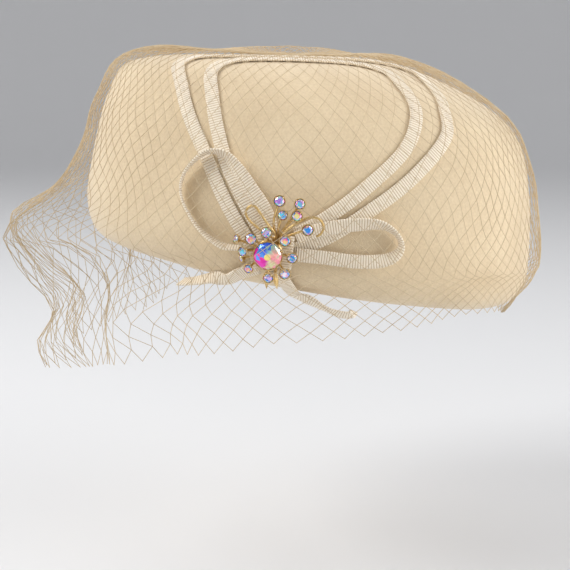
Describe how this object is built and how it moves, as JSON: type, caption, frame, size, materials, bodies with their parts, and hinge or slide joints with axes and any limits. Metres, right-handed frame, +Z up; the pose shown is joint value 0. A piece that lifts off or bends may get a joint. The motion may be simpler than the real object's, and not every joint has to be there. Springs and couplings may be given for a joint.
{
  "type": "pillbox hat with net veil",
  "caption": "Rounded pillbox hat of cream felt, hollow for the head, with ribbon bands, a ribbon bow, a stone-set brooch and a net veil that hangs past the rim in front.",
  "frame": {"origin": "middle of the opening's edge, where the hat sits on the head", "axes": "+X to the wearer's left, -Y forwards over the face, +Y towards the back of the hat, +Z up through the top"},
  "size_m": [0.2366, 0.2871, 0.1695],
  "materials": {
    "cream_felt": "matt wool felt, faintly napped",
    "grosgrain_ribbon": "cross-ribbed ribbon with a soft sheen",
    "antique_gold": "aged gilt metal",
    "iridescent_crystal": "faceted foiled crystal with an iridescent coat",
    "veil_net": "open knotted thread net"
  },
  "bodies": {
    "root": {"crown_wall": "cream_felt", "crown_tip": "cream_felt", "ribbon_band_inner": "grosgrain_ribbon", "ribbon_band_outer": "grosgrain_ribbon", "bow_loop_front": "grosgrain_ribbon", "bow_loop_back": "grosgrain_ribbon", "bow_tail_front": "grosgrain_ribbon", "bow_tail_back": "grosgrain_ribbon", "bow_knot": "grosgrain_ribbon", "brooch_frame": "antique_gold", "brooch_stone_centre": "iridescent_crystal", "brooch_stone_stem_tip_left": "iridescent_crystal", "brooch_stone_stem_tip_right": "iridescent_crystal", "brooch_stone_stem_low_left": "iridescent_crystal", "brooch_stone_stem_low_right": "iridescent_crystal", "brooch_stone_spiral": "iridescent_crystal", "brooch_stone_crown_left": "iridescent_crystal", "brooch_stone_shoulder_left": "iridescent_crystal", "brooch_stone_outer_left": "iridescent_crystal", "brooch_stone_side_left_high": "iridescent_crystal", "brooch_stone_side_left_mid": "iridescent_crystal", "brooch_stone_side_left_low": "iridescent_crystal", "brooch_stone_foot_left": "iridescent_crystal", "brooch_stone_foot_right": "iridescent_crystal", "brooch_stone_side_right": "iridescent_crystal", "brooch_stone_hub_right": "iridescent_crystal", "veil_cap": "veil_net", "veil_fall": "veil_net"}
  },
  "joints": []
}
